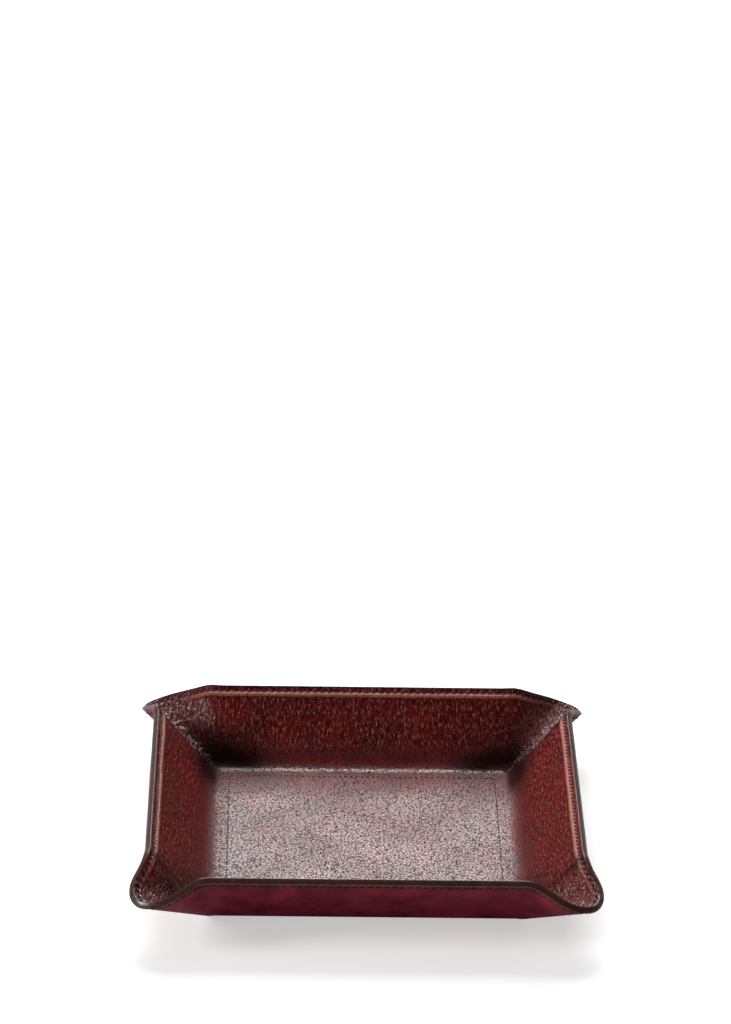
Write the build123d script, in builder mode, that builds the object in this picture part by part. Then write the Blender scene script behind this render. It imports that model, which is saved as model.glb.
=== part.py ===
from build123d import *
from math import atan2, cos, radians, sin
import os

os.makedirs("parts", exist_ok=True)

# Square moulded valet tray, +Z up, in millimetres. The origin is the centre of
# the underside, and the front is the -Y side.

# Main sizes
floor_side = 138.0  # inner floor, from fold line to fold line
wall_slant = 39.1  # inner wall, from fold line to rim, along the wall
wall_lean = 50.2  # degrees that a wall stands up from the floor
lining_thickness = 1.0
board_thickness = 0.7
outer_thickness = 1.0

# Folds and corners
fold_half = 1.5  # how far a fold's bend runs to each side of its line
fan_radius = 4.6  # plan radius of the fold line round a corner
ear_reach = 17.1  # how much further out an ear's tip is than a wall's rim
ear_drop = 9.8  # how much lower an ear's tip is than a wall's rim

# An ear's rim from a wall's end to the tip: its turn, reach and drop
ear_shares = ((0.25, 0.06, 0.0), (0.5, 0.29, 0.27), (0.75, 0.80, 0.79), (1.0, 1.0, 1.0))

# Edge paint
paint_bulge = 0.6

# Boards
board_gap = 1.0  # free leather beside a fold, for it to bend

# Seams
rim_pitch = 3.4
rim_stitch_length = 2.2
floor_pitch = 2.5
floor_stitch_length = 1.6
stitch_width = 0.7
stitch_height = 0.4
stitch_slant = 20.0  # degrees that a rim stitch leans across its seam
stitch_seat = 0.02  # clearance under a stitch on a flat face
ear_stitch_seat = 0.1  # clearance under a stitch on the twisted leather of an ear
rim_seam_inset = 2.7
floor_seam_inset = 7.8
groove_width = 1.3
groove_depth = 0.6

# Worked out from the sizes above
thickness = lining_thickness + board_thickness + outer_thickness
board_top = lining_thickness
board_bottom = lining_thickness + board_thickness
floor_half = floor_side / 2
pivot = floor_half - fan_radius
lean = radians(wall_lean)
rim_reach = fan_radius + wall_slant * cos(lean)
rim_rise = wall_slant * sin(lean)
seam_half = floor_half - floor_seam_inset

# How finely a fold's bend and the round of the edge paint are set out
bend_steps = 3
bead_steps = 5


def fan_point(turn, reach, rise):
    """A point round the pivot of the corner between the back and the right wall."""
    return Vector(pivot + reach * sin(turn), pivot + reach * cos(turn), thickness + rise)


# The inner face's rim from the back wall's end to the tip of that corner's ear
rim_points = [fan_point(0, rim_reach, rim_rise)]
for turn_share, reach_share, drop_share in ear_shares:
    reach = rim_reach + ear_reach * reach_share
    rim_points.append(
        fan_point(radians(45) * turn_share, reach, rim_rise - ear_drop * drop_share)
    )
with BuildLine() as half_ear_rim:
    Spline(*rim_points, tangents=[(1, 0, 0), (1, -1, 0)])
rim_edge = half_ear_rim.edge()

# An ear is set out in facets, one for each stitch of its rim seam
stations = 2 * round(rim_edge.length / rim_pitch)
station_shares = [i / stations for i in range(stations + 1)]


def rim_point(share):
    """A point of the whole ear's rim, 0 at the back wall and 1 at the right wall."""
    if share <= 0.5:
        return rim_edge @ (2 * share)
    far = rim_edge @ (2 - 2 * share)
    return Vector(far.Y, far.X, far.Z)


def rib(share):
    """The inner face's profile at one station of an ear: floor, fold, end of bend, rim."""
    rim = rim_point(share)
    turn = atan2(rim.X - pivot, rim.Y - pivot)
    reach = ((rim.X - pivot) ** 2 + (rim.Y - pivot) ** 2) ** 0.5
    slope = atan2(rim.Z - thickness, reach - fan_radius)
    start = fan_point(turn, fan_radius - fold_half, 0)
    fold = fan_point(turn, fan_radius, 0)
    end = fan_point(turn, fan_radius + fold_half * cos(slope), fold_half * sin(slope))
    return start, fold, end, rim


def inner_point(share, climb):
    """A point of an ear's inner face: climb 0 to 1 is the bend, 1 to 2 the fan to the rim."""
    start, fold, end, rim = rib(share)
    if climb <= 1:
        return start * (1 - climb) ** 2 + fold * 2 * climb * (1 - climb) + end * climb**2
    return end + (rim - end) * (climb - 1)


def outward(share, climb):
    """The direction from the inner face of an ear to the outer face."""
    if climb == 0:
        return Vector(0, 0, -1)
    nudge = 1 / stations / 50
    if share in (0, 1):
        along = Vector(1 - share, -share, 0)
    else:
        along = inner_point(share + nudge, climb) - inner_point(share - nudge, climb)
    if climb < 1:
        up = inner_point(share, climb + nudge) - inner_point(share, climb - nudge)
    else:
        up = inner_point(share, 2) - inner_point(share, 1)
    return up.cross(along).normalized()


def skin_point(share, climb, depth):
    return inner_point(share, climb) + outward(share, climb) * depth


def panel(*corners):
    return Face(Wire.make_polygon(corners))


def across(point):
    """The same point at the other end of the back wall."""
    return Vector(-point.X, point.Y, point.Z)


def quarter_turns(shapes):
    """Copies of points or faces at all four corners or walls."""
    return [s.rotate(Axis.Z, -90 * turn) for turn in range(4) for s in shapes]


def facets(low, high):
    """Flat faces between two rows of an ear, alike on both sides of its diagonal."""
    faces = []
    for i in range(stations):
        a, b, c, d = low[i], low[i + 1], high[i + 1], high[i]
        if i < stations / 2:
            faces += [panel(a, b, c), panel(a, c, d)]
        else:
            faces += [panel(a, b, d), panel(b, c, d)]
    return faces


def strips(rows):
    """The faces between neighbouring rows, round the four ears and along the walls."""
    faces = []
    for low, high in zip(rows, rows[1:]):
        faces += facets(low, high)
        faces.append(panel(low[0], high[0], across(high[0]), across(low[0])))
    return quarter_turns(faces)


class Skin:
    """The sheet at one depth below its inner face."""

    def __init__(self, depth):
        climbs = [j / bend_steps for j in range(bend_steps + 1)] + [2]
        self.rows = [[skin_point(s, c, depth) for s in station_shares] for c in climbs]
        self.bend_end, self.rim = self.rows[-2:]

    def faces(self):
        floor = panel(*quarter_turns(self.rows[0]))
        return strips(self.rows) + [floor]


def sheet(upper, lower):
    """The closed solid between two skins, cut square along the rim."""
    return Solid(Shell(upper.faces() + lower.faces() + strips([upper.rim, lower.rim])))


inner_skin = Skin(0)
under_lining = Skin(board_top)
over_outer = Skin(board_bottom)
outer_skin = Skin(thickness)

# Lining leather: the inner face of floor, walls and ears in one piece
with BuildPart() as lining_leather:
    add(sheet(inner_skin, under_lining))

# Outer leather: the same shape under the boards. Its underside has a groove for
# the thread of the floor seam
with BuildPart() as outer_leather:
    add(sheet(over_outer, outer_skin))
    with BuildSketch(Plane.XY):
        Rectangle(2 * seam_half + groove_width, 2 * seam_half + groove_width)
        Rectangle(
            2 * seam_half - groove_width, 2 * seam_half - groove_width, mode=Mode.SUBTRACT
        )
    extrude(amount=groove_depth, mode=Mode.SUBTRACT)

# Floor board between the two leathers
board_half = floor_half - fold_half - board_gap
with BuildPart() as floor_board:
    with BuildSketch(Plane.XY.offset(thickness - board_bottom)):
        RectangleRounded(2 * board_half, 2 * board_half, fan_radius)
    extrude(amount=board_thickness)

# Wall boards, flush with the cut rim
knee = skin_point(0, 1, board_bottom)
wall_plane = Plane(
    origin=(0, knee.Y, knee.Z), x_dir=(1, 0, 0), z_dir=outward(0, 2) * -1
)
board_rise = wall_slant - fold_half
with BuildPart() as back_wall_board:
    with BuildSketch(wall_plane):
        with Locations((0, board_gap)):
            Rectangle(
                2 * (pivot - board_gap),
                board_rise - board_gap,
                align=(Align.CENTER, Align.MIN),
            )
    extrude(amount=board_thickness)
with BuildPart() as left_wall_board:
    add(back_wall_board.part.rotate(Axis.Z, 90))
with BuildPart() as front_wall_board:
    add(back_wall_board.part.rotate(Axis.Z, 180))
with BuildPart() as right_wall_board:
    add(back_wall_board.part.rotate(Axis.Z, 270))

# Ear stiffeners: the moulded layer between the leathers of each ear
stiffener_top = facets(under_lining.bend_end, under_lining.rim)
stiffener_bottom = facets(over_outer.bend_end, over_outer.rim)
stiffener_foot = facets(under_lining.bend_end, over_outer.bend_end)
stiffener_edge = facets(under_lining.rim, over_outer.rim)
stiffener_sides = [
    panel(under_lining.bend_end[i], under_lining.rim[i], over_outer.rim[i], over_outer.bend_end[i])
    for i in (0, -1)
]
with BuildPart() as back_right_ear_stiffener:
    add(
        Solid(
            Shell(
                stiffener_top
                + stiffener_bottom
                + stiffener_foot
                + stiffener_edge
                + stiffener_sides
            )
        )
    )
with BuildPart() as back_left_ear_stiffener:
    add(back_right_ear_stiffener.part)
    mirror(about=Plane.YZ, mode=Mode.REPLACE)
with BuildPart() as front_right_ear_stiffener:
    add(back_right_ear_stiffener.part)
    mirror(about=Plane.XZ, mode=Mode.REPLACE)
with BuildPart() as front_left_ear_stiffener:
    add(back_left_ear_stiffener.part)
    mirror(about=Plane.XZ, mode=Mode.REPLACE)


# Edge paint: a rounded bead along the whole cut rim
def bead_point(share, step):
    inner, outer = skin_point(share, 2, 0), skin_point(share, 2, thickness)
    swing = radians(180) * step / bead_steps
    bulge = (inner_point(share, 2) - inner_point(share, 1)).normalized() * paint_bulge
    return (inner + outer) / 2 + (inner - outer) / 2 * cos(swing) + bulge * sin(swing)


bead_rows = [
    [bead_point(s, step) for s in station_shares] for step in range(bead_steps + 1)
]
cut_rows = [inner_skin.rim, under_lining.rim, over_outer.rim, outer_skin.rim]
with BuildPart() as edge_paint:
    add(Solid(Shell(strips(bead_rows) + strips(cut_rows))))


# Seams: each is a row of separate stitches
def spaced(length, pitch):
    """Centres of whole stitches along a length, in shares of it."""
    count = round(length / pitch)
    return [(i + 0.5) / count for i in range(count)]


def stitch_plane(point, along, up, seat, slant):
    leaned = along.rotate(Axis((0, 0, 0), up), slant)
    return Plane(origin=point + up * seat, x_dir=leaned, z_dir=up)


def placed(plane, move):
    """A stitch's plane with each of its vectors moved in the same way."""
    return Plane(origin=move(plane.origin), x_dir=move(plane.x_dir), z_dir=move(plane.z_dir))


def all_round(planes):
    return [
        placed(p, lambda v: v.rotate(Axis.Z, 90 * turn)) for turn in range(4) for p in planes
    ]


def rim_seam(depth, side):
    """The rim's stitch planes on one skin. Side is 1 inside the tray and -1 outside."""
    seam, rises = [], []
    for share in station_shares:
        rise = inner_point(share, 2) - inner_point(share, 1)
        seam.append(skin_point(share, 2 - rim_seam_inset / rise.length, depth))
        rises.append(rise)
    corner = []
    for i in range(stations):
        along = (seam[i + 1] - seam[i]).normalized()
        up = along.cross(rises[i] + rises[i + 1]).normalized() * side
        middle = (seam[i] + seam[i + 1]) / 2
        corner.append(stitch_plane(middle, along, up, ear_stitch_seat, stitch_slant))
    wall = []
    up = outward(0, 2) * -side
    for centre in spaced(2 * pivot, rim_pitch):
        point = Vector(pivot - 2 * pivot * centre, seam[0].Y, seam[0].Z)
        plane = stitch_plane(point, Vector(1, 0, 0), up, stitch_seat, stitch_slant)
        wall.append(plane)
    return all_round(corner + wall)


def floor_seam(level, up):
    """The floor seam's stitch planes, as a square of rows at one level."""
    row = []
    for centre in spaced(2 * seam_half, floor_pitch):
        point = Vector(seam_half - 2 * seam_half * centre, seam_half, level)
        row.append(Plane(origin=point + up * stitch_seat, x_dir=(1, 0, 0), z_dir=up))
    return all_round(row)


def stitch(length):
    """One stitch, a ridge of thread that lies along X on the XY plane."""
    half_width = stitch_width / 2
    with BuildPart(mode=Mode.PRIVATE) as thread:
        with BuildSketch(Plane.YZ):
            Polygon((-half_width, 0), (half_width, 0), (0, stitch_height), align=None)
        extrude(amount=length / 2, both=True)
    return thread.part


rim_stitch = stitch(rim_stitch_length)
floor_stitch = stitch(floor_stitch_length)
with BuildPart() as rim_thread_inside:
    with Locations(*rim_seam(0, 1)):
        add(rim_stitch)
with BuildPart() as rim_thread_outside:
    with Locations(*rim_seam(thickness, -1)):
        add(rim_stitch)
with BuildPart() as floor_thread_inside:
    with Locations(*floor_seam(thickness, Vector(0, 0, 1))):
        add(floor_stitch)
with BuildPart() as floor_thread_underneath:
    with Locations(*floor_seam(groove_depth, Vector(0, 0, -1))):
        add(floor_stitch)

lining_leather.part.label = "lining_leather"
outer_leather.part.label = "outer_leather"
floor_board.part.label = "floor_board"
front_wall_board.part.label = "front_wall_board"
back_wall_board.part.label = "back_wall_board"
left_wall_board.part.label = "left_wall_board"
right_wall_board.part.label = "right_wall_board"
front_left_ear_stiffener.part.label = "front_left_ear_stiffener"
front_right_ear_stiffener.part.label = "front_right_ear_stiffener"
back_left_ear_stiffener.part.label = "back_left_ear_stiffener"
back_right_ear_stiffener.part.label = "back_right_ear_stiffener"
edge_paint.part.label = "edge_paint"
rim_thread_inside.part.label = "rim_thread_inside"
rim_thread_outside.part.label = "rim_thread_outside"
floor_thread_inside.part.label = "floor_thread_inside"
floor_thread_underneath.part.label = "floor_thread_underneath"

export_step(lining_leather.part, "parts/lining_leather.step")
export_step(outer_leather.part, "parts/outer_leather.step")
export_step(floor_board.part, "parts/floor_board.step")
export_step(front_wall_board.part, "parts/front_wall_board.step")
export_step(back_wall_board.part, "parts/back_wall_board.step")
export_step(left_wall_board.part, "parts/left_wall_board.step")
export_step(right_wall_board.part, "parts/right_wall_board.step")
export_step(front_left_ear_stiffener.part, "parts/front_left_ear_stiffener.step")
export_step(front_right_ear_stiffener.part, "parts/front_right_ear_stiffener.step")
export_step(back_left_ear_stiffener.part, "parts/back_left_ear_stiffener.step")
export_step(back_right_ear_stiffener.part, "parts/back_right_ear_stiffener.step")
export_step(edge_paint.part, "parts/edge_paint.step")
export_step(rim_thread_inside.part, "parts/rim_thread_inside.step")
export_step(rim_thread_outside.part, "parts/rim_thread_outside.step")
export_step(floor_thread_inside.part, "parts/floor_thread_inside.step")
export_step(floor_thread_underneath.part, "parts/floor_thread_underneath.step")
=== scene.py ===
import math

import bpy
import numpy as np
from mathutils import Matrix


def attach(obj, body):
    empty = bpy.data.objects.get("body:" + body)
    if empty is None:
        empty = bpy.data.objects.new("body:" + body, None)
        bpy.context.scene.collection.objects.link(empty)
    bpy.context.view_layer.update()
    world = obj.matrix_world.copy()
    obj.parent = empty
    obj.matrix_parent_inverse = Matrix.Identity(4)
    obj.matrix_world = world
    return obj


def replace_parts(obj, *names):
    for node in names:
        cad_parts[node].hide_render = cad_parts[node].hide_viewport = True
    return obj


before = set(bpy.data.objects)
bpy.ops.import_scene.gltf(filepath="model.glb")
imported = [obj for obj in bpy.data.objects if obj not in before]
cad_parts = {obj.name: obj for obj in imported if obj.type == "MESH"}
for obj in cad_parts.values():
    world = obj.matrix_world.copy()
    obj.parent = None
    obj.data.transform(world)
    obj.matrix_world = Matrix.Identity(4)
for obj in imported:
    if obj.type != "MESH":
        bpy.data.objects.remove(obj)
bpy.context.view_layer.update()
mm = 0.001

# Lining leather: the inner face of floor, walls and ears, cut as one piece of full-grain
# calf leather, wet-moulded over the boards and folded up at the floor. The surface is
# aniline-dyed oxblood, plated and wax-polished, so the grain is fine and very glossy.
floor_side = 138.0 * mm
wall_slant = 39.1 * mm
wall_lean = math.radians(50.2)
sheet_thickness = 2.7 * mm
lining_thickness = 1.0 * mm
fan_radius = 4.6 * mm
bend_half = 4.2 * mm
rim_pitch = 3.4 * mm
floor_pitch = 2.5 * mm
rim_seam_inset = 2.7 * mm
floor_seam_inset = 7.8 * mm
# An ear's greatest reach and drop, at its tip, and the shares of its half turn, reach and
# drop that its rim passes on the way there
ear_reach = 17.1 * mm
ear_drop = 9.8 * mm
ear_shares = ((0.25, 0.06, 0.0), (0.5, 0.29, 0.27), (0.75, 0.80, 0.79), (1.0, 1.0, 1.0))
floor_half = floor_side / 2
seam_half = floor_half - floor_seam_inset
pivot = floor_half - fan_radius
rim_reach = fan_radius + wall_slant * math.cos(wall_lean)
rim_rise = wall_slant * math.sin(wall_lean)


def clamped_spline(knots, points, first, last, at):
    """A cubic through the points, with its direction given at both ends."""
    h = np.diff(knots)[:, None]
    slope = np.diff(points, axis=0) / h
    n = len(knots)
    factors, known = np.eye(n), np.array([first] + [[0, 0, 0]] * (n - 2) + [last], float)
    for i in range(1, n - 1):
        factors[i, i - 1 : i + 2] = h[i, 0], 2 * (h[i, 0] + h[i - 1, 0]), h[i - 1, 0]
        known[i] = 3 * (h[i, 0] * slope[i - 1] + h[i - 1, 0] * slope[i])
    d = np.linalg.solve(factors, known)
    i = np.clip(np.searchsorted(knots, at) - 1, 0, n - 2)
    t = ((at - knots[i]) / h[i, 0])[:, None]
    a, b = points[i], points[i + 1]
    return (
        a * (1 + 2 * t) * (1 - t) ** 2
        + b * (3 - 2 * t) * t**2
        + h[i] * (d[i] * t * (1 - t) ** 2 - d[i + 1] * (1 - t) * t**2)
    )


def ear_rim(shares):
    """The rim round the ear between the back and the right wall, evenly along its length."""
    half_turn, samples = math.radians(45), 400
    along_wall, across_corner = (1, 0, 0), (0.7071, -0.7071, 0)
    corner = [(0.0, rim_reach, rim_rise)]
    for turn, reach, drop in ear_shares:
        corner.append((half_turn * turn, rim_reach + ear_reach * reach, rim_rise - ear_drop * drop))
    points = np.array([(r * math.sin(a), r * math.cos(a), z) for a, r, z in corner])
    knots = np.append(0, np.cumsum(np.linalg.norm(np.diff(points, axis=0), axis=1)))
    fine = np.linspace(0, knots[-1], samples)
    half = clamped_spline(knots, points, along_wall, across_corner, fine)
    run = np.append(0, np.cumsum(np.linalg.norm(np.diff(half, axis=0), axis=1)))
    goal = run[-1] * np.where(shares <= 0.5, 2 * shares, 2 - 2 * shares)
    rim = np.stack([np.interp(goal, run, half[:, k]) for k in range(3)], -1)
    rim[shares > 0.5] = rim[shares > 0.5][:, [1, 0, 2]]
    return rim, 2 * run[-1]


# The sheet's columns, clockwise from the back wall's right end: an ear, then a wall, with
# the wall's columns closer together at its ends, where its board stops
columns_per_stitch = 3
ear_run = ear_rim(np.array([0.0]))[1]
ear_stitches = 2 * round(ear_run / 2 / rim_pitch)
wall_stitches = round(2 * pivot / rim_pitch)
ear_columns = columns_per_stitch * ear_stitches
ear_share = np.arange(ear_columns) / ear_columns
end_share = np.array([0, 0.3, 0.6, 0.9, 1.3, 1.8, 2.5]) / 100
even_share = np.linspace(0.034, 0.966, 110)
wall_share = np.concatenate([end_share, even_share, 1 - end_share[:0:-1]])
quarter_columns = len(ear_share) + len(wall_share)
columns = 4 * quarter_columns

# For each column: the way it faces, its reach and height at the rim, its place along its
# wall, its run round the rim, its count of stitches, and how far into an ear it is
rim, _ = ear_rim(ear_share)
plan = np.hypot(rim[:, 0], rim[:, 1])
ones, zeros = np.ones(len(wall_share)), np.zeros(len(wall_share))
way = np.concatenate([rim[:, :2] / plan[:, None], np.stack([ones, zeros], -1)])
reach = np.concatenate([plan, ones * rim_reach])
rise = np.concatenate([rim[:, 2], ones * rim_rise])
slide = np.concatenate([np.ones(ear_columns), 1 - 2 * wall_share])
rim_run = np.concatenate([ear_share * ear_run, ear_run + wall_share * 2 * pivot])
rim_count = np.concatenate([ear_share * ear_stitches, ear_stitches + wall_share * wall_stitches])
quarter_stitches = ear_stitches + wall_stitches
ear_part = np.concatenate([np.sin(np.pi * ear_share), zeros])
fan_length = np.hypot(reach - fan_radius, rise)
fan_beyond = fan_length - bend_half


def quarter_turned(points):
    """Points of one quarter of the sheet, repeated clockwise round the tray."""
    x, y, z = points[..., 0], points[..., 1], points[..., 2]
    turns = [(x, y, z), (y, -x, z), (-x, -y, z), (-y, x, z)]
    return np.concatenate([np.stack(t, -1) for t in turns], axis=1)


def profile(climb):
    """Inner face of the quarter: climb -1 to 0 is floor, 0 to 1 the bend, 1 to 2 the fan."""
    corner_fade = 8
    bend = np.clip(climb, 0, 1)
    up = np.stack([reach - fan_radius, rise], -1) / fan_length[:, None]
    out = fan_radius - bend_half * (1 - bend) ** 2 + up[:, 0] * bend_half * bend**2
    lift = up[:, 1] * bend_half * bend**2
    beyond = np.where(climb > 1, (climb - 1) * fan_beyond, 0)
    out = out + up[:, 0] * beyond
    lift = lift + up[:, 1] * beyond
    ring = np.clip(1 + climb, 0, 1)
    radius = np.where(climb < 0, out * ring**corner_fade, out)
    corner = np.where(climb < 0, (pivot + out) * ring - radius, pivot)
    x = corner + radius * way[:, 0]
    y = corner * slide + radius * way[:, 1]
    return np.stack([x, y, sheet_thickness + lift], -1)


# Rows from the floor's centre to the rim, close together at the seams
seam_climb = seam_half / (floor_half - bend_half) - 1
seam_margin = 0.03
seam_rows = seam_climb + np.array([-14, -9, -5, -2.5, 0, 2.5, 5, 9, 14]) / 1000
middle_rows = np.linspace(-1, seam_climb - seam_margin, 22)
outer_rows = np.linspace(seam_climb + seam_margin, 0, 4)
floor_rows = np.concatenate([middle_rows, seam_rows, outer_rows])
bend_steps, wall_steps = np.linspace(0, 1, 9)[1:], np.linspace(0, 1, 26)[1:]
rim_insets = np.array([8, 6.6, 5.8, 5.2, 4.7, 4.3, 3.9, 3.6, 3.3, 3, 2.7, 2.4, 2.1, 1.8, 1.5,
                       1.2, 0.9, 0.65, 0.4, 0.2, 0]) * mm
last_climb = 2 - rim_insets[0] / fan_beyond
climbs = [np.full(quarter_columns, t) for t in floor_rows]
climbs += [np.full(quarter_columns, t) for t in bend_steps]
climbs += [1 + (last_climb - 1) * t for t in wall_steps]
climbs += [2 - inset / fan_beyond for inset in rim_insets[1:]]
climbs = np.array(climbs)
rows = len(climbs)

# The sheet's inner face, the way that it faces, how far each point is from the rim, and
# how far out it is on the floor
inner_face = quarter_turned(np.array([profile(t) for t in climbs]))
nudge = 1e-3
upward = quarter_turned(np.array([profile(t + nudge) - profile(t - nudge) for t in climbs]))
onward = np.roll(inner_face, -1, axis=1) - np.roll(inner_face, 1, axis=1)
inward = np.cross(onward, upward)
inward /= np.maximum(np.linalg.norm(inward, axis=-1, keepdims=True), 1e-12)
inward[climbs[:, 0] < 0] = (0, 0, 1)
all_climbs = np.tile(climbs, (1, 4))
all_ears = np.tile(ear_part, 4)
inset = np.where(all_climbs > 1, (2 - all_climbs) * np.tile(fan_beyond, 4), wall_slant)
floor_ring = (1 + all_climbs) * (floor_half - bend_half)


def hump(at, centre, width):
    """A smooth rise to 1 at the centre."""
    return np.exp(-(((at - centre) / width) ** 2))


# What the maker's tools leave on the flat leather: the rolled rim, the seam's trough with
# a raised line inside it, the trough of the floor seam, and the ends of the wall boards
roll_depth, roll_width = 0.3 * mm, 0.9 * mm
trough_depth, trough_width, trough_shift = 0.4 * mm, 0.9 * mm, 0.5 * mm
line_height, line_width, line_shift = 0.75 * mm, 1.1 * mm, 1.2 * mm
floor_trough_depth, floor_trough_width = 0.04 * mm, 0.8 * mm
step_height, step_width, step_fade = 0.25 * mm, 1.6 * mm, 6 * mm
line_in_ear = 1 - 0.6 * all_ears
rolled_rim = roll_depth * np.clip(1 - inset / roll_width, 0, 1) ** 2
rim_trough = trough_depth * hump(inset, rim_seam_inset - trough_shift, trough_width)
raised_line = line_height * hump(inset, rim_seam_inset + line_shift, line_width) * line_in_ear
seam_dip = hump(floor_ring, seam_half, floor_trough_width)
floor_trough = floor_trough_depth * np.where(all_climbs < 0, seam_dip, 0)
wall_place = np.tile(np.concatenate([np.full(ear_columns, -1), wall_share * 2 * pivot]), 4)
board_end = np.minimum(wall_place, 2 * pivot - wall_place)
on_wall = np.clip((all_climbs - 1) * 6, 0, 1) * np.clip(inset / step_fade, 0, 1)
board_step = step_height * np.clip(board_end / step_width, 0, 1) * on_wall

# The side walls bend up from the floor more softly than the front and back ones, and the
# leather fills that bend. beside is 1 at a side wall and 0 at the front or the back.
soft_bend = 8.0 * mm
up_wall = np.clip(all_climbs - 1, 0, 1) * np.tile(fan_beyond, 4)
round_bend = bend_half * np.abs(1 - 2 * np.clip(all_climbs, 0, 1))
from_fold = np.where(all_climbs < 0, floor_half - floor_ring, round_bend + up_wall)
beside = np.tile(np.concatenate([ear_share, ones, 1 - ear_share, zeros]), 2)
fold_bridge = math.sin(wall_lean / 2) / 2 * (1 - all_ears) * beside * (
    soft_bend * np.clip(1 - from_fold / soft_bend, 0, 1) ** 2
    - bend_half * np.clip(1 - from_fold / bend_half, 0, 1) ** 2
)

# What working by hand leaves: slow waves all over, and folds that fan out in the ears
wave_height, wave_fade = 0.09 * mm, 5 * mm
ear_fold_height, ear_fold_count = 0.07 * mm, 34


def slow_wave(x, y, z):
    """How far the hand-worked surface stands out of true, at a place in millimetres."""
    first = np.sin(x / 9.1 + 1.7 * np.sin(y / 13.3))
    return wave_height * (first + np.sin(y / 8.3 + 1.9 * np.sin(x / 11.9) + z / 7.0))


x, y, z = (inner_face[..., k] / mm for k in range(3))
slow_waves = slow_wave(x, y, z) * np.clip(inset / wave_fade, 0, 1)
out_x, out_y = np.abs(x) - pivot / mm, np.abs(y) - pivot / mm
fan_out = np.sin(np.arctan2(out_x, out_y) * ear_fold_count + 2 * np.sin(inset / mm / 5))
ear_folds = ear_fold_height * fan_out * all_ears**2 * on_wall
relief = (
    raised_line + board_step + fold_bridge + ear_folds + slow_waves
    - rolled_rim - rim_trough - floor_trough
)


def moulded(name, points, maps):
    """A flat grid brought to its places, then closed at the middle and the seam. Each map
    holds two numbers for each point of the grid, which the finish follows."""
    layers = len(points) - 1
    bpy.ops.object.select_all(action="DESELECT")
    bpy.ops.mesh.primitive_grid_add(x_subdivisions=columns, y_subdivisions=layers, size=1)
    piece = bpy.context.object
    piece.name = piece.data.name = name
    flat = np.empty(3 * len(piece.data.vertices))
    piece.data.vertices.foreach_get("co", flat)
    flat = flat.reshape(-1, 3)
    column = np.rint((flat[:, 0] + 0.5) * columns).astype(int)
    layer = np.rint((flat[:, 1] + 0.5) * layers).astype(int)
    moved = points[layer, column % columns]
    piece.data.vertices.foreach_set("co", moved.ravel())
    corner = np.empty(len(piece.data.loops), int)
    piece.data.loops.foreach_get("vertex_index", corner)
    piece.data.uv_layers.remove(piece.data.uv_layers[0])
    for map_name, (along_sheet, across) in maps.items():
        first = np.broadcast_to(along_sheet, (layers + 1, columns + 1))[layer, column]
        pair = np.stack([first, across[layer, column % columns]], -1)[corner]
        uv_map = piece.data.uv_layers.new(name=map_name)
        uv_map.uv.foreach_set("vector", pair.ravel().astype(np.float32))
    bpy.ops.object.mode_set(mode="EDIT")
    bpy.ops.mesh.select_all(action="SELECT")
    bpy.ops.mesh.remove_doubles(threshold=0.001 * mm)
    bpy.ops.mesh.normals_make_consistent(inside=False)
    bpy.ops.object.mode_set(mode="OBJECT")
    bpy.ops.object.shade_smooth_by_angle(angle=math.radians(50))
    return piece


# A leather's hidden face has fewer rows: four up the wall, four in the bend, three inside
under_rows = [rows - 1, rows - 12, rows - 22, rows - 34, 40, 38, 36, 34, 20, 10, 0]


def two_faced(values):
    """Values for a leather's shown face, then for the rows of its hidden face."""
    return np.concatenate([values, values[under_rows]])


# The maps along a seam count its stitches, and across it measure millimetres
rim_counts = np.concatenate([rim_count + k * quarter_stitches for k in range(4)])
rim_counts = np.append(rim_counts, 4 * quarter_stitches)
floor_stitches = round(2 * seam_half / floor_pitch)
floor_count = np.concatenate([np.zeros(ear_columns), wall_share * floor_stitches])
floor_counts = np.append(np.tile(floor_count, 4), 0)
from_floor_seam = np.where(all_climbs <= 0, floor_ring - seam_half, wall_slant) / mm

# Hollows, in millimetres, darkened almost to black with painted shade and given less wax: round
# a floor corner, and the fold where an ear leaves a side wall
hollow_out, hollow_width = 10, 12
fold_out, fold_width, fold_shade_and_dullness = 5.5, 3.0, 0.95
from_corner = np.sqrt(out_x**2 + out_y**2 + z**2)
from_ear_end = np.minimum(ear_share, 1 - ear_share) * ear_run / mm
ear_ends = np.tile(np.concatenate([hump(from_ear_end, fold_out, fold_width), zeros]), 4) * beside
hollow_shade_and_dullness = np.maximum(hump(from_corner, hollow_out, hollow_width), fold_shade_and_dullness * ear_ends)
hollow_shade_and_dullness = hollow_shade_and_dullness * np.clip(2 * all_climbs, 0, 1)

# Slack leather, which shows its grain and carries the painted glint specks: none on the floor, and
# more up a wall
slack_start, slack_rise = 3, 12
slack = np.clip((from_fold / mm - slack_start) / slack_rise, 0, 1)
slack = np.where(all_climbs < 0, 0, slack**2 * (3 - 2 * slack))

# Where each point lay in the flat hide, in millimetres, before the ears were drawn in
flat_angle = np.concatenate([ear_share * math.pi / 2, ones * math.pi / 2])
flat_radius = (
    fan_radius - bend_half + 2 * bend_half * np.clip(climbs, 0, 1)
    + np.clip(climbs - 1, 0, 1) * fan_beyond
)
flat_x = pivot + flat_radius * np.sin(flat_angle)
flat_y = pivot * slide + flat_radius * np.cos(flat_angle)
folded_out = quarter_turned(np.stack([flat_x, flat_y, 0 * flat_x], -1))
hide = np.where(all_climbs[..., None] < 0, inner_face, folded_out) / mm
hide_x = np.append(hide[..., 0], hide[:, :1, 0], axis=1)
leather_maps = {
    "hide": (two_faced(hide_x), two_faced(hide[..., 1])),
    "ear": (np.append(np.tile(ear_part**2, 4), 0), two_faced(hollow_shade_and_dullness)),
    "slack": (rim_counts, two_faced(slack)),
    "rim_seam": (rim_counts, two_faced(inset / mm)),
    "floor_seam": (floor_counts, two_faced(from_floor_seam)),
}
lining_top = inner_face + inward * relief[..., None]
lining_under = inner_face - inward * lining_thickness
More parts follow.
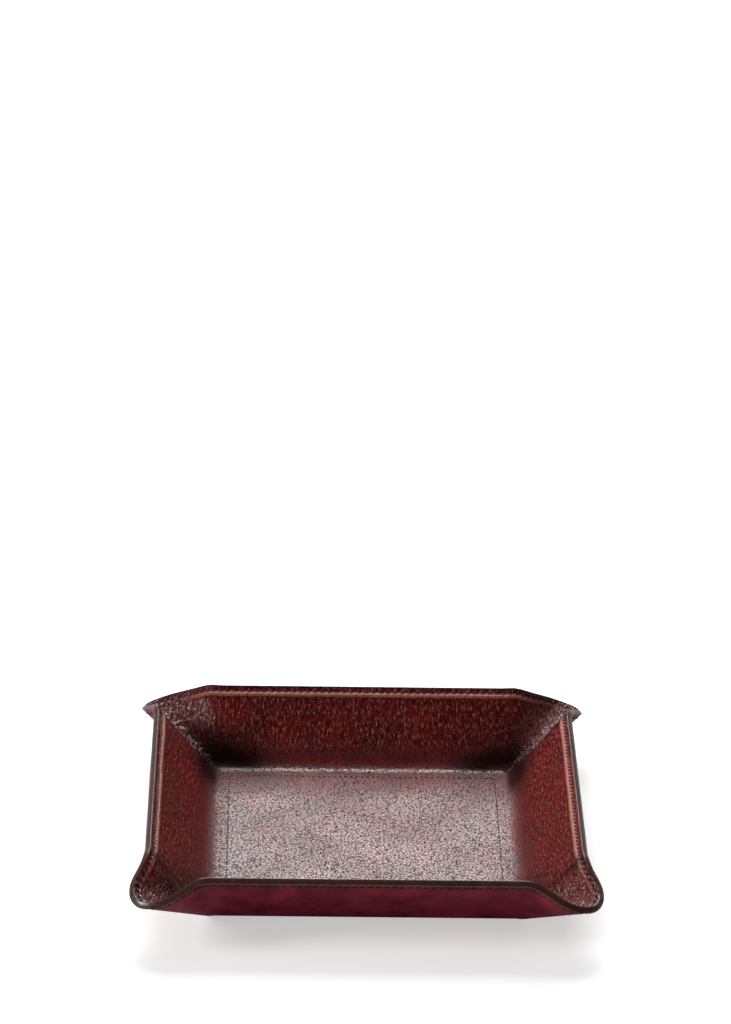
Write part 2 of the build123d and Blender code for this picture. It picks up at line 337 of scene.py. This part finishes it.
lining = moulded(
    "lining_leather_skin", np.concatenate([lining_top, lining_under[under_rows]]), leather_maps
)


def linear(hex_colour):
    """An sRGB hex value as a linear colour with alpha."""
    parts = [int(hex_colour[i : i + 2], 16) / 255 for i in (1, 3, 5)]
    return [c / 12.92 if c <= 0.04045 else ((c + 0.055) / 1.055) ** 2.4 for c in parts] + [1]


def new_material(name):
    """A material, with its node tree and its shader."""
    material = bpy.data.materials.new(name)
    material.use_nodes = True
    return material, material.node_tree, material.node_tree.nodes["Principled BSDF"]


def add_node(tree, kind, links=(), inputs=(), **settings):
    """Adds a node with its settings, input values and links (input, from node's output)."""
    node = tree.nodes.new(kind)
    for key, value in settings.items():
        setattr(node, key, value)
    for key, value in dict(inputs).items():
        node.inputs[key].default_value = value
    for key, source in dict(links).items():
        tree.links.new(source, node.inputs[key])
    return node


# Polished calf leather: the milled grain is a net of fine creases round small plateaus. Dye
# gathers in the creases, and only the plateaus take the wax, which gives small bright
# glints on a deep red ground. Pale pink specks on the walls' slack grain are painted
# highlights for more glints. The grain and the creases are drawn larger than a real hide's, so that
# they show.
grain_size = 1.7 * mm
crease_size = 1.8 * mm
speck_size = 0.75 * mm
pore_size = 0.7 * mm
ripple_size, ripple_stray = 1.3 * mm, 2.6 * mm
cloud_size = 20 * mm
wrinkle_size, wrinkle_depth = 6 * mm, 1.8 * mm
crease_depth = 0.9 * mm
grain_depth = 0.06 * mm
pore_depth = 0.03 * mm
calf, tree, shader = new_material("polished_oxblood_calf_leather")
where = add_node(tree, "ShaderNodeTexCoord").outputs["Object"]
rim_map = add_node(tree, "ShaderNodeUVMap", uv_map="rim_seam").outputs["UV"]
floor_map = add_node(tree, "ShaderNodeUVMap", uv_map="floor_seam").outputs["UV"]
ear_map = add_node(tree, "ShaderNodeUVMap", uv_map="ear").outputs["UV"]
from_rim = add_node(tree, "ShaderNodeSeparateXYZ", {0: rim_map})
from_seam = add_node(tree, "ShaderNodeSeparateXYZ", {0: floor_map})
in_ear = add_node(tree, "ShaderNodeSeparateXYZ", {0: ear_map})
ripple = add_node(
    tree, "ShaderNodeTexNoise", {"Vector": where},
    {"Scale": 1 / ripple_size, "Detail": 3.0, "Roughness": 0.65},
)
strayed = add_node(
    tree, "ShaderNodeVectorMath", {0: ripple.outputs["Color"], 2: where},
    {1: (ripple_stray, ripple_stray, ripple_stray)}, operation="MULTIPLY_ADD",
)
net = add_node(
    tree, "ShaderNodeTexVoronoi", {"Vector": strayed.outputs[0]}, {"Scale": 1 / grain_size},
    feature="DISTANCE_TO_EDGE",
)
plateau = add_node(
    tree, "ShaderNodeMapRange", {"Value": net.outputs["Distance"]}, {"From Max": 0.11},
    interpolation_type="SMOOTHSTEP",
).outputs["Result"]
# The hide's creases are drawn out from front to back, along the animal's spine
crease_stretch = 0.27
hide_map = add_node(tree, "ShaderNodeUVMap", uv_map="hide").outputs["UV"]
stretched = add_node(
    tree, "ShaderNodeVectorMath", {0: hide_map}, {1: (mm, crease_stretch * mm, 0.0)},
    operation="MULTIPLY",
).outputs[0]
creases = add_node(
    tree, "ShaderNodeTexNoise", {"Vector": stretched},
    {"Scale": 1 / crease_size, "Detail": 2.0, "Roughness": 0.6, "Distortion": 0.6},
).outputs["Fac"]
fine = add_node(
    tree, "ShaderNodeTexNoise", {"Vector": where},
    {"Scale": 1 / pore_size, "Detail": 1.0, "Roughness": 0.6},
).outputs["Fac"]
clouds = add_node(
    tree, "ShaderNodeTexNoise", {"Vector": where},
    {"Scale": 1 / cloud_size, "Detail": 4.0, "Roughness": 0.6},
).outputs["Fac"]
specks = add_node(
    tree, "ShaderNodeTexNoise", {"Vector": stretched},
    {"Scale": 1 / speck_size, "Detail": 2.0, "Roughness": 0.7},
).outputs["Fac"]
slack_map = add_node(tree, "ShaderNodeUVMap", uv_map="slack").outputs["UV"]
slack_and_glint_mask = add_node(tree, "ShaderNodeSeparateXYZ", {0: slack_map}).outputs["Y"]
tone = add_node(
    tree, "ShaderNodeMath", {0: ripple.outputs["Fac"], 1: clouds}, operation="ADD"
).outputs[0]
depth = add_node(tree, "ShaderNodeMapRange", {"Value": tone}, {"From Min": 0.7, "From Max": 1.3})
red = add_node(
    tree, "ShaderNodeMix", {0: depth.outputs["Result"]},
    {6: linear("#4c0302"), 7: linear("#930e08")}, data_type="RGBA",
)
pores = add_node(
    tree, "ShaderNodeMix", {0: plateau}, {6: linear("#5c3c3a"), 7: linear("#ffffff")},
    data_type="RGBA",
)
dyed = add_node(
    tree, "ShaderNodeMix", {6: red.outputs[2], 7: pores.outputs[2]}, {0: 1.0},
    data_type="RGBA", blend_type="MULTIPLY",
)
# Painted highlights: pale pink specks on the walls' slack grain stand in for glints
painted_glint_specks = add_node(
    tree, "ShaderNodeMapRange", {"Value": specks},
    {"From Min": 0.55, "From Max": 0.65, "To Max": 0.55},
).outputs["Result"]
painted_wall_glints = add_node(
    tree, "ShaderNodeMath", {0: painted_glint_specks, 1: slack_and_glint_mask}, operation="MULTIPLY"
).outputs[0]
# A painted highlight lightens the raised line beside the rim's seam too, between the ears. It
# is placed in millimetres from the rim.
ridge_middle = 3.6
past_ridge = add_node(
    tree, "ShaderNodeMath", {0: from_rim.outputs["Y"]}, {1: ridge_middle}, operation="SUBTRACT"
).outputs[0]
from_ridge = add_node(tree, "ShaderNodeMath", {0: past_ridge}, operation="ABSOLUTE").outputs[0]
ridge_highlight_band = add_node(
    tree, "ShaderNodeMapRange", {"Value": from_ridge},
    {"From Min": 0.9, "From Max": 1.6, "To Min": 0.7, "To Max": 0.0},
).outputs["Result"]
out_of_ear = add_node(
    tree, "ShaderNodeMath", {1: in_ear.outputs["X"]}, {0: 1.0}, operation="SUBTRACT"
).outputs[0]
painted_ridge_highlight = add_node(
    tree, "ShaderNodeMath", {0: ridge_highlight_band, 1: out_of_ear}, operation="MULTIPLY"
).outputs[0]
painted_highlight_mask = add_node(
    tree, "ShaderNodeMath", {0: painted_wall_glints, 1: painted_ridge_highlight}, operation="MAXIMUM"
).outputs[0]
# The specks and the ridge line are mixed into the dyed colour as painted highlights
painted_highlights = add_node(
    tree, "ShaderNodeMix", {0: painted_highlight_mask, 6: dyed.outputs[2]}, {7: linear("#dc9080")},
    data_type="RGBA",
)
# Painted shade: the hollows' mask darkens the leather almost to black, and further down it also
# thins the wax
painted_shade_and_dullness = add_node(
    tree, "ShaderNodeMapRange", {"Value": in_ear.outputs["Y"]}, {"To Max": 0.88}
).outputs["Result"]
painted_hollow_shade = add_node(
    tree, "ShaderNodeMix", {0: painted_shade_and_dullness, 6: painted_highlights.outputs[2]}, {7: linear("#0c0202")},
    data_type="RGBA",
)
tree.links.new(painted_hollow_shade.outputs[2], shader.inputs["Base Color"])
# The cloth can't reach the leather beside the folds, and it only skims the steep walls, so
# both keep less wax than the floor
beside_fold = add_node(
    tree, "ShaderNodeMapRange", {"Value": from_seam.outputs["Y"]},
    {"From Min": 0.5, "From Max": 3.0, "To Min": 0.2, "To Max": 1.0},
).outputs["Result"]
on_floor = add_node(
    tree, "ShaderNodeMath", {0: from_seam.outputs["Y"]}, {1: 9.0}, operation="LESS_THAN"
).outputs[0]
in_strip = add_node(
    tree, "ShaderNodeMath", {0: beside_fold, 1: on_floor}, operation="MULTIPLY"
).outputs[0]
half_waxed = add_node(
    tree, "ShaderNodeMath", {0: in_strip}, {1: 0.35}, operation="MULTIPLY"
).outputs[0]
on_walls = add_node(
    tree, "ShaderNodeMath", {0: slack_and_glint_mask, 1: out_of_ear}, operation="MULTIPLY"
).outputs[0]
less_waxed = add_node(
    tree, "ShaderNodeMath", {0: on_walls, 2: half_waxed}, {1: 0.8}, operation="MULTIPLY_ADD"
).outputs[0]
dulled = add_node(
    tree, "ShaderNodeMath", {0: painted_shade_and_dullness, 1: less_waxed}, operation="MAXIMUM"
).outputs[0]
polished = add_node(
    tree, "ShaderNodeMath", {1: dulled}, {0: 1.0}, operation="SUBTRACT"
).outputs[0]
worked = add_node(
    tree, "ShaderNodeMath", {0: polished, 1: plateau}, operation="MULTIPLY"
).outputs[0]
wax = add_node(
    tree, "ShaderNodeMapRange", {"Value": worked}, {"To Min": 0.03, "To Max": 0.78}
).outputs["Result"]
tree.links.new(wax, shader.inputs["Coat Weight"])
gloss = add_node(
    tree, "ShaderNodeMapRange", {"Value": worked}, {"To Min": 0.04, "To Max": 0.52}
).outputs["Result"]
tree.links.new(gloss, shader.inputs["Specular IOR Level"])
shader.inputs["IOR"].default_value = 1.6
shader.inputs["Roughness"].default_value = 0.38
shader.inputs["Coat Roughness"].default_value = 0.25
# The leather is gathered at the ears and beside the folds
creased_strip = add_node(
    tree, "ShaderNodeMath", {0: in_strip}, {1: 0.2}, operation="MULTIPLY"
).outputs[0]
gathered = add_node(
    tree, "ShaderNodeMath", {0: creased_strip, 1: in_ear.outputs["X"]}, operation="MAXIMUM"
).outputs[0]
wrinkles = add_node(
    tree, "ShaderNodeTexNoise", {"Vector": where},
    {"Scale": 1 / wrinkle_size, "Detail": 2.0, "Roughness": 0.5, "Distortion": 1.6},
).outputs["Fac"]
wrinkle_bump = add_node(
    tree, "ShaderNodeBump", {"Height": wrinkles, "Strength": gathered}, {"Distance": wrinkle_depth}
)
# Between two of the rim's stitches the leather stands up as a small slanted bridge. Its
# slant is in stitches for each millimetre from the rim, and its places are in millimetres.
bridge_slant = 0.17
bridge_start, trough_middle = 2.2, 2.4
bridge_height = 0.35 * mm
leaning = add_node(
    tree, "ShaderNodeMath", {0: from_rim.outputs["Y"], 2: from_rim.outputs["X"]},
    {1: bridge_slant}, operation="MULTIPLY_ADD",
).outputs[0]
share = add_node(tree, "ShaderNodeMath", {0: leaning}, {1: 1.0}, operation="FLOORED_MODULO")
past_bridge = add_node(
    tree, "ShaderNodeMath", {0: share.outputs[0]}, {1: 0.5 + bridge_slant * bridge_start},
    operation="SUBTRACT",
).outputs[0]
from_bridge = add_node(tree, "ShaderNodeMath", {0: past_bridge}, operation="ABSOLUTE").outputs[0]
bridge = add_node(
    tree, "ShaderNodeMapRange", {"Value": from_bridge},
    {"From Min": 0.12, "From Max": 0.34, "To Min": 1.0, "To Max": 0.0},
    interpolation_type="SMOOTHSTEP",
).outputs["Result"]
past_trough = add_node(
    tree, "ShaderNodeMath", {0: from_rim.outputs["Y"]}, {1: trough_middle}, operation="SUBTRACT"
).outputs[0]
from_trough = add_node(tree, "ShaderNodeMath", {0: past_trough}, operation="ABSOLUTE").outputs[0]
in_trough = add_node(
    tree, "ShaderNodeMapRange", {"Value": from_trough},
    {"From Min": 1.2, "From Max": 2.2, "To Min": 1.0, "To Max": 0.0},
    interpolation_type="SMOOTHSTEP",
).outputs["Result"]
pulled_up = add_node(
    tree, "ShaderNodeMath", {0: bridge, 1: in_trough}, operation="MULTIPLY"
).outputs[0]
bridge_bump = add_node(
    tree, "ShaderNodeBump", {"Height": pulled_up, "Normal": wrinkle_bump.outputs["Normal"]},
    {"Strength": 1.0, "Distance": bridge_height},
)
crease_bump = add_node(
    tree, "ShaderNodeBump",
    {"Height": creases, "Strength": slack_and_glint_mask, "Normal": bridge_bump.outputs["Normal"]},
    {"Distance": crease_depth},
)
net_bump = add_node(
    tree, "ShaderNodeBump", {"Height": plateau, "Normal": crease_bump.outputs["Normal"]},
    {"Strength": 1.0, "Distance": grain_depth},
)
fine_bump = add_node(
    tree, "ShaderNodeBump", {"Height": fine, "Normal": net_bump.outputs["Normal"]},
    {"Strength": 1.0, "Distance": pore_depth},
)
tree.links.new(fine_bump.outputs["Normal"], shader.inputs["Normal"])
tree.links.new(fine_bump.outputs["Normal"], shader.inputs["Coat Normal"])
lining.data.materials.clear()
lining.data.materials.append(calf)
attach(lining, "root")
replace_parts(lining, "lining_leather")

# Floor board and wall boards: five pieces of 0.7 mm greyboard, the bookbinder's board of
# pulped waste paper, cut a little short of each fold and glued between the two leathers.
# They keep the solids' own shape. Greyboard is matt, grey and flecked with paper fibres.
fleck_size, fleck_depth = 0.8 * mm, 0.05 * mm
greyboard, tree, shader = new_material("flecked_greyboard")
where = add_node(tree, "ShaderNodeTexCoord").outputs["Object"]
flecks = add_node(
    tree, "ShaderNodeTexNoise", {"Vector": where},
    {"Scale": 1 / fleck_size, "Detail": 4.0, "Roughness": 0.7},
).outputs["Fac"]
pulp = add_node(
    tree, "ShaderNodeMix", {0: flecks}, {6: linear("#6f6a62"), 7: linear("#a29b8f")},
    data_type="RGBA",
)
tree.links.new(pulp.outputs[2], shader.inputs["Base Color"])
shader.inputs["Roughness"].default_value = 0.9
fleck_bump = add_node(
    tree, "ShaderNodeBump", {"Height": flecks}, {"Strength": 1.0, "Distance": fleck_depth}
)
tree.links.new(fleck_bump.outputs["Normal"], shader.inputs["Normal"])
for board in ("floor", "front_wall", "back_wall", "left_wall", "right_wall"):
    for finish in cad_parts[board + "_board"].material_slots:
        finish.material = greyboard

# Ear stiffeners: four fans of 0.7 mm bonded leather fibre, wetted, moulded with the ears
# and glued between the leathers. They keep the solids' own shape. Bonded leather is made
# of shredded hide and latex, so it is matt brown with long, pale fibres.
shred_size, shred_depth = 1.5 * mm, 0.08 * mm
bonded, tree, shader = new_material("brown_bonded_leather_fibre")
where = add_node(tree, "ShaderNodeTexCoord").outputs["Object"]
shreds = add_node(
    tree, "ShaderNodeTexNoise", {"Vector": where},
    {"Scale": 1 / shred_size, "Detail": 5.0, "Roughness": 0.7, "Distortion": 2.0},
).outputs["Fac"]
fibre = add_node(
    tree, "ShaderNodeMix", {0: shreds}, {6: linear("#2f160f"), 7: linear("#5a3426")},
    data_type="RGBA",
)
tree.links.new(fibre.outputs[2], shader.inputs["Base Color"])
shader.inputs["Roughness"].default_value = 0.85
shred_bump = add_node(
    tree, "ShaderNodeBump", {"Height": shreds}, {"Strength": 1.0, "Distance": shred_depth}
)
tree.links.new(shred_bump.outputs["Normal"], shader.inputs["Normal"])
for corner in ("front_left", "front_right", "back_left", "back_right"):
    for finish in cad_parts[corner + "_ear_stiffener"].material_slots:
        finish.material = bonded

# Outer leather: a second piece of calf, 1.0 mm thick, glued over the boards from outside and
# trimmed flush with the lining. Its rim is rolled as the lining's is, and underneath, the
# floor's stitches lie in a groove, so that the tray stands on leather and not on thread.
outer_upper_depth = 1.7 * mm
outer_trough_depth, outer_trough_width = 0.25 * mm, 0.8 * mm
groove_half, groove_bank, groove_depth = 0.8 * mm, 0.5 * mm, 0.6 * mm
outer_trough = outer_trough_depth * hump(inset, rim_seam_inset, outer_trough_width)
in_groove = np.clip((groove_half - np.abs(floor_ring - seam_half)) / groove_bank, 0, 1)
under_groove = np.where(all_climbs < 0, groove_depth * in_groove, 0)
outer_relief = outer_trough + rolled_rim + under_groove
outer_face = inner_face - inward * (sheet_thickness - outer_relief)[..., None]
outer_upper = inner_face - inward * outer_upper_depth
outer = moulded(
    "outer_leather_skin", np.concatenate([outer_face, outer_upper[under_rows]]), leather_maps
)
# Smooth calf leather: dyed wine red in the drum and not plated, so it has soft clouds of
# colour, a satin face and hardly any grain.
dye_cloud, face_grain, face_depth = 12 * mm, 0.9 * mm, 0.1 * mm
wine, tree, shader = new_material("smooth_wine_calf_leather")
where = add_node(tree, "ShaderNodeTexCoord").outputs["Object"]
clouds = add_node(
    tree, "ShaderNodeTexNoise", {"Vector": where},
    {"Scale": 1 / dye_cloud, "Detail": 5.0, "Roughness": 0.6},
).outputs["Fac"]
fine = add_node(
    tree, "ShaderNodeTexNoise", {"Vector": where},
    {"Scale": 1 / face_grain, "Detail": 3.0, "Roughness": 0.6},
).outputs["Fac"]
depth = add_node(tree, "ShaderNodeMapRange", {"Value": clouds}, {"From Min": 0.3, "From Max": 0.7})
dyed = add_node(
    tree, "ShaderNodeMix", {0: depth.outputs["Result"]},
    {6: linear("#64141f"), 7: linear("#b03a52")}, data_type="RGBA",
)
tree.links.new(dyed.outputs[2], shader.inputs["Base Color"])
shader.inputs["Roughness"].default_value = 0.48
shader.inputs["IOR"].default_value = 1.4
fine_bump = add_node(
    tree, "ShaderNodeBump", {"Height": fine}, {"Strength": 1.0, "Distance": face_depth}
)
tree.links.new(fine_bump.outputs["Normal"], shader.inputs["Normal"])
outer.data.materials.clear()
outer.data.materials.append(wine)
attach(outer, "root")
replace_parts(outer, "outer_leather")

# Edge paint: the cut edges of both leathers and the board are sanded together and sealed
# with several coats of thick grey-brown edge paint, which dries as a rounded satin bead.
# It laps a little over both leathers, and it is brushed on by hand, so it isn't quite even.
paint_bulge = 0.42 * mm
paint_lap = 0.15 * mm
paint_root = 0.05 * mm
bead_steps, bead_fullness = 14, 0.7
long_wave, short_wave = 7 * mm, 2.9 * mm
rim_middle = inner_face[-1] - inward[-1] * (sheet_thickness / 2)
rim_in = inward[-1]
rim_out = upward[-1] / np.linalg.norm(upward[-1], axis=-1, keepdims=True)
swing = np.linspace(0, np.pi, bead_steps + 1)[:, None, None]
half_edge = sheet_thickness / 2 + paint_lap
along = np.concatenate([rim_run + k * (ear_run + 2 * pivot) for k in range(4)])
uneven = 1 + 0.05 * np.sin(along / long_wave) + 0.03 * np.sin(along / short_wave + 1)
bead = (
    rim_middle
    + rim_in * half_edge * np.cos(swing)
    + rim_out * paint_bulge * np.sin(swing) ** bead_fullness * (0.92 * uneven)[:, None]
)
sunk = rim_middle - rim_out * paint_root
bead_root = sunk[None] + np.array([-0.3, 0.3])[:, None, None] * half_edge * rim_in
bead_layers = np.concatenate([bead, bead_root, bead[:1]])
# The bead's own map counts stitches along it, and goes round it in rough millimetres
bead_widths = np.tile(np.linspace(0, 6, len(bead_layers))[:, None], (1, columns))
paint = moulded("edge_paint_bead", bead_layers, {"bead": (rim_counts, bead_widths)})
# The sealer is pigmented and self-levelling, and it cures in coats, so it is smooth, a
# little glossy and faintly streaked where one coat shows through the next.
streak_size, streak_depth = 3 * mm, 0.1 * mm
sealer, tree, shader = new_material("satin_grey_brown_edge_paint")
where = add_node(tree, "ShaderNodeTexCoord").outputs["Object"]
brushed = add_node(
    tree, "ShaderNodeTexNoise", {"Vector": where},
    {"Scale": 1 / streak_size, "Detail": 4.0, "Roughness": 0.6},
).outputs["Fac"]
coats = add_node(
    tree, "ShaderNodeMix", {0: brushed}, {6: linear("#361a14"), 7: linear("#5e4039")},
    data_type="RGBA",
)
tree.links.new(coats.outputs[2], shader.inputs["Base Color"])
shader.inputs["Roughness"].default_value = 0.3
shader.inputs["IOR"].default_value = 1.75
soft_bump = add_node(
    tree, "ShaderNodeBump", {"Height": brushed}, {"Strength": 1.0, "Distance": streak_depth}
)
tree.links.new(soft_bump.outputs["Normal"], shader.inputs["Normal"])
paint.data.materials.clear()
paint.data.materials.append(sealer)
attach(paint, "root")
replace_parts(paint, "edge_paint")

# Seams: waxed, twisted polyester thread in the leather's own dark brown, lock-stitched
# through both leathers. Each stitch lies in its trough and dives into a needle hole at
# each end, and the rim's stitches lean a little because the holes are slanted.
thread_width = 0.75 * mm
thread_height = 0.5 * mm
rim_stitch_length = 2.5 * mm
floor_stitch_length = 1.25 * mm
stitch_slant = math.radians(20)
fibre_size, fibre_depth = 0.3 * mm, 0.05 * mm
twine, tree, shader = new_material("waxed_twisted_brown_thread")
where = add_node(tree, "ShaderNodeTexCoord").outputs["Object"]
fibres = add_node(
    tree, "ShaderNodeTexNoise", {"Vector": where},
    {"Scale": 1 / fibre_size, "Detail": 2.0, "Roughness": 0.6},
).outputs["Fac"]
plied = add_node(
    tree, "ShaderNodeMix", {0: fibres}, {6: linear("#160706"), 7: linear("#3f1a15")},
    data_type="RGBA",
)
tree.links.new(plied.outputs[2], shader.inputs["Base Color"])
shader.inputs["Roughness"].default_value = 0.5
fibre_bump = add_node(
    tree, "ShaderNodeBump", {"Height": fibres}, {"Strength": 1.0, "Distance": fibre_depth}
)
tree.links.new(fibre_bump.outputs["Normal"], shader.inputs["Normal"])


def one_stitch(length):
    """A stitch along X on the leather: a round thread whose ends turn down into their holes."""
    bpy.ops.object.select_all(action="DESELECT")
    bpy.ops.mesh.primitive_cylinder_add(
        vertices=8, radius=thread_width / 2, depth=length, rotation=(0, math.pi / 2, 0)
    )
    piece = bpy.context.object
    bpy.ops.object.transform_apply(rotation=True)
    bpy.ops.object.mode_set(mode="EDIT")
    for share in (-0.3, -0.1, 0.1, 0.3):
        bpy.ops.mesh.select_all(action="SELECT")
        bpy.ops.mesh.bisect(plane_co=(share * length, 0, 0), plane_no=(1, 0, 0))
    bpy.ops.object.mode_set(mode="OBJECT")
    for vertex in piece.data.vertices:
        dive = (abs(vertex.co.x) / (length / 2)) ** 4
        flattened = vertex.co.z * thread_height / thread_width
        vertex.co.z = flattened + thread_height * (0.3 - 0.6 * dive)
        vertex.co.y *= 1 - 0.35 * dive
    return piece


def sewn(name, stitch, places):
    """One thread: a copy of the stitch at each place (middle, direction, up), joined."""
    copies = []
    for middle, run, up in places:
        side = np.cross(up, run)
        turned = Matrix(np.stack([run, side, up], -1).tolist()).to_4x4()
        turned.translation = middle
        copy = bpy.data.objects.new(name, stitch.data.copy())
        copy.data.transform(turned)
        bpy.context.scene.collection.objects.link(copy)
        copies.append(copy)
    bpy.ops.object.select_all(action="DESELECT")
    for copy in copies:
        copy.select_set(True)
    bpy.context.view_layer.objects.active = copies[0]
    bpy.ops.object.join()
    thread = bpy.context.object
    thread.name = thread.data.name = name
    bpy.ops.object.shade_smooth()
    thread.data.materials.clear()
    thread.data.materials.append(twine)
    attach(thread, "root")
    return thread


def at_count(line, count):
    """The place or direction on a closed line, at a count of the rim's stitches."""
    closed = np.concatenate([line, line[:1]])
    return np.array([np.interp(count, rim_counts, closed[:, k]) for k in range(3)])


def rim_places(face, side, lean):
    """Where the rim's stitches lie on one face of the sheet, and how each leans."""
    row = rows - len(rim_insets) + int(np.argmin(abs(rim_insets - rim_seam_inset)))
    line, ups = face[row], inward[row] * side
    places = []
    for count in np.arange(4 * quarter_stitches) + 0.5:
        up = at_count(ups, count)
        up /= np.linalg.norm(up)
        run = at_count(line, count + 0.2) - at_count(line, count - 0.2)
        run -= up * (run @ up)
        run /= np.linalg.norm(run)
        run = run * math.cos(lean) + np.cross(up, run) * math.sin(lean)
        places.append((at_count(line, count) + up * 0.1 * thread_height, run, up))
    return places


def floor_places(level, side, wave):
    """Where the floor's stitches lie, at a level that follows the surface's waves or not."""
    places, up = [], np.array([0, 0, float(side)])
    for run in ((1, 0), (0, 1), (-1, 0), (0, -1)):
        run, out = np.array([*run, 0.0]), np.array([-run[1], run[0], 0.0])
        for i in range(floor_stitches):
            middle = run * seam_half * (2 * (i + 0.5) / floor_stitches - 1) + out * seam_half
            middle[2] = level
            middle[2] += wave * slow_wave(*middle / mm)
            places.append((middle, run, up))
    return places


rim_stitch, floor_stitch = one_stitch(rim_stitch_length), one_stitch(floor_stitch_length)
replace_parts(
    sewn("rim_thread_inside_stitches", rim_stitch, rim_places(lining_top, 1, stitch_slant)),
    "rim_thread_inside",
)
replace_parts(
    sewn("rim_thread_outside_stitches", rim_stitch, rim_places(outer_face, -1, stitch_slant)),
    "rim_thread_outside",
)
seam_sink = 0.1 * mm
seam_level = sheet_thickness - seam_sink
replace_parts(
    sewn("floor_thread_inside_stitches", floor_stitch, floor_places(seam_level, 1, 1)),
    "floor_thread_inside",
)
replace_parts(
    sewn("floor_thread_underneath_stitches", floor_stitch, floor_places(groove_depth, -1, 0)),
    "floor_thread_underneath",
)
for pattern in (rim_stitch, floor_stitch):
    bpy.data.objects.remove(pattern)

# Studio floor: a sheet of matt white paper, which shows white to the camera and still takes
# the tray's shadow. It throws back less light than it shows, as paper in a dim room does.
white = linear("#ffffff")
ground_side, ground_drop = 6.0, 0.1 * mm
bpy.ops.object.select_all(action="DESELECT")
bpy.ops.mesh.primitive_plane_add(size=ground_side, location=(0, 0, -ground_drop))
ground = bpy.context.object
ground.name = "studio_floor"
bpy.ops.object.transform_apply(location=True)
paper, tree, shader = new_material("matt_white_studio_paper")
shader.inputs["Base Color"].default_value = linear("#d0d0d0")
shader.inputs["Roughness"].default_value = 0.9
shader.inputs["Specular IOR Level"].default_value = 0.0
light_path = add_node(tree, "ShaderNodeLightPath")
bright = add_node(tree, "ShaderNodeBsdfDiffuse", inputs={"Color": white})
glow = add_node(tree, "ShaderNodeEmission", inputs={"Color": white, "Strength": 0.5})
seen = add_node(tree, "ShaderNodeAddShader", {0: bright.outputs[0], 1: glow.outputs[0]})
mixed = add_node(
    tree, "ShaderNodeMixShader",
    {0: light_path.outputs["Is Camera Ray"], 1: shader.outputs[0], 2: seen.outputs[0]},
)
tree.links.new(mixed.outputs[0], tree.nodes["Material Output"].inputs["Surface"])
ground.data.materials.append(paper)

# Studio room: white to the camera and faintly lit. Low down behind the tray it has a pale
# band that only polish mirrors, as a studio's paper sweep would be.
world = bpy.data.worlds.new("studio")
bpy.context.scene.world = world
world.use_nodes = True
tree = world.node_tree
direction = add_node(tree, "ShaderNodeTexCoord").outputs["Generated"]
parts = add_node(tree, "ShaderNodeSeparateXYZ", {0: direction})
low = add_node(
    tree, "ShaderNodeMapRange", {"Value": parts.outputs["Z"]},
    {"From Min": 0.3, "From Max": 0.45, "To Min": 1.0, "To Max": 0.02},
).outputs["Result"]
behind = add_node(
    tree, "ShaderNodeMapRange", {"Value": parts.outputs["Y"]},
    {"From Min": 0.3, "From Max": 0.8, "To Min": 0.03, "To Max": 0.16},
).outputs["Result"]
glow = add_node(tree, "ShaderNodeMath", {0: low, 1: behind}, operation="MULTIPLY").outputs[0]
sheen = add_node(tree, "ShaderNodeBackground", {"Strength": glow}, {"Color": white})
plain = add_node(tree, "ShaderNodeBackground", inputs={"Color": white, "Strength": 0.05})
sweep = add_node(tree, "ShaderNodeBackground", inputs={"Color": white})
light_path = add_node(tree, "ShaderNodeLightPath")
lit = add_node(
    tree, "ShaderNodeMixShader",
    {0: light_path.outputs["Is Glossy Ray"], 1: plain.outputs[0], 2: sheen.outputs[0]},
)
backdrop = add_node(
    tree, "ShaderNodeMixShader",
    {0: light_path.outputs["Is Camera Ray"], 1: lit.outputs[0], 2: sweep.outputs[0]},
)
tree.links.new(backdrop.outputs[0], tree.nodes["World Output"].inputs["Surface"])


# Lamps: a large softbox behind gives the floor its sheen, one at the left shapes the walls,
# and the two fills are weak. Each has its place in metres, its side and its power in watts.
def softbox(name, place, side_length, power):
    """A square area lamp that looks at the tray from its place."""
    lamp = bpy.data.lights.new(name, "AREA")
    lamp.shape, lamp.size, lamp.energy = "SQUARE", side_length, power
    holder = bpy.data.objects.new(name, lamp)
    bpy.context.scene.collection.objects.link(holder)
    holder.location = place
    back = np.array(place) / np.linalg.norm(place)
    side = np.cross((0, 0, 1), back)
    side /= np.linalg.norm(side)
    turned = Matrix(np.stack([side, np.cross(back, side), back], -1).tolist())
    holder.rotation_euler = turned.to_euler()


softbox("back_softbox", (0.0, 1.0, 0.97), 0.85, 13.5)
softbox("high_back_softbox", (-0.05, 0.85, 1.06), 0.5, 3.0)
softbox("left_softbox", (-1.15, -0.25, 0.6), 0.4, 8.0)
softbox("right_fill", (1.2, 0.3, 0.7), 0.4, 1.5)
softbox("front_fill", (0.0, -1.2, 0.12), 0.2, 1.2)

# Camera: a long lens that looks down on the tray from well in front of it. Its angles, in
# radians, and its aim, distance and lens are fitted to the photograph.
fitted_pitch, fitted_yaw, fitted_roll = 0.41688, 0.01994, 0.01983
camera_aim = np.array([-0.97, 54.48, 139.46]) * mm
camera_distance = 2118.7 * mm
lens_length, film_side = 165.99, 36.0
nearest_seen, farthest_seen = 0.1, 20
forward = np.array([
    math.sin(fitted_yaw) * math.cos(fitted_pitch),
    math.cos(fitted_yaw) * math.cos(fitted_pitch),
    -math.sin(fitted_pitch),
])
level = np.array([math.cos(fitted_yaw), -math.sin(fitted_yaw), 0])
upright = np.cross(level, forward)
right = math.cos(fitted_roll) * level + math.sin(fitted_roll) * upright
up = math.cos(fitted_roll) * upright - math.sin(fitted_roll) * level
camera = bpy.data.objects.new("camera", bpy.data.cameras.new("camera"))
bpy.context.scene.collection.objects.link(camera)
camera.location = camera_aim - forward * camera_distance
camera.rotation_euler = Matrix(np.stack([right, up, -forward], -1).tolist()).to_euler()
camera.data.lens, camera.data.sensor_width, camera.data.sensor_fit = lens_length, film_side, "AUTO"
camera.data.clip_start, camera.data.clip_end = nearest_seen, farthest_seen
bpy.context.scene.camera = camera
bpy.context.scene.view_settings.view_transform = "Standard"
